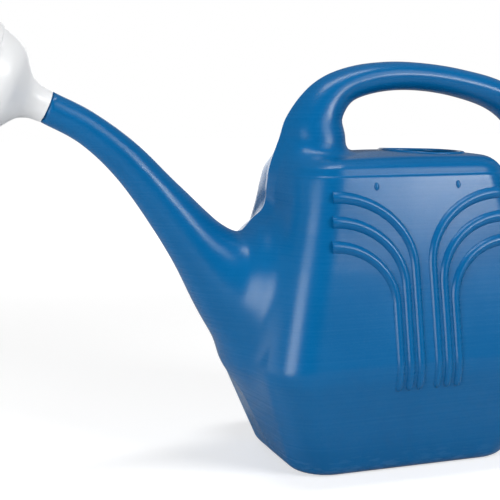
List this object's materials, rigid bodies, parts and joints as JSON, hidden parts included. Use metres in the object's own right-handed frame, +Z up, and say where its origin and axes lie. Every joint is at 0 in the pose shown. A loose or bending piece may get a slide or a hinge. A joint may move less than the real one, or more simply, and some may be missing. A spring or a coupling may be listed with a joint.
{
  "type": "watering can",
  "caption": "Blow-moulded plastic watering can with an arched hollow handle, a long curved spout, ribbed side panels and a bell-shaped rose that pulls off the spout.",
  "frame": {"origin": "centre of the flat base, on the floor", "axes": "+X from the spout towards the back of the handle, +Y across the can to its left seen from behind, +Z up"},
  "size_m": [0.5181, 0.1886, 0.3541],
  "materials": {
    "blue_moulding": "satin",
    "white_rose": "satin"
  },
  "bodies": {
    "can": {"tank": "blue_moulding", "spout": "blue_moulding", "handle": "blue_moulding"},
    "rose": {"rose_shell": "white_rose", "rose_face": "white_rose"}
  },
  "joints": [
    {"name": "rose_pull", "type": "slide", "parent": "can", "child": "rose", "axis": [-0.9135, 0, 0.4067], "range_m": [0, 0.022]}
  ]
}
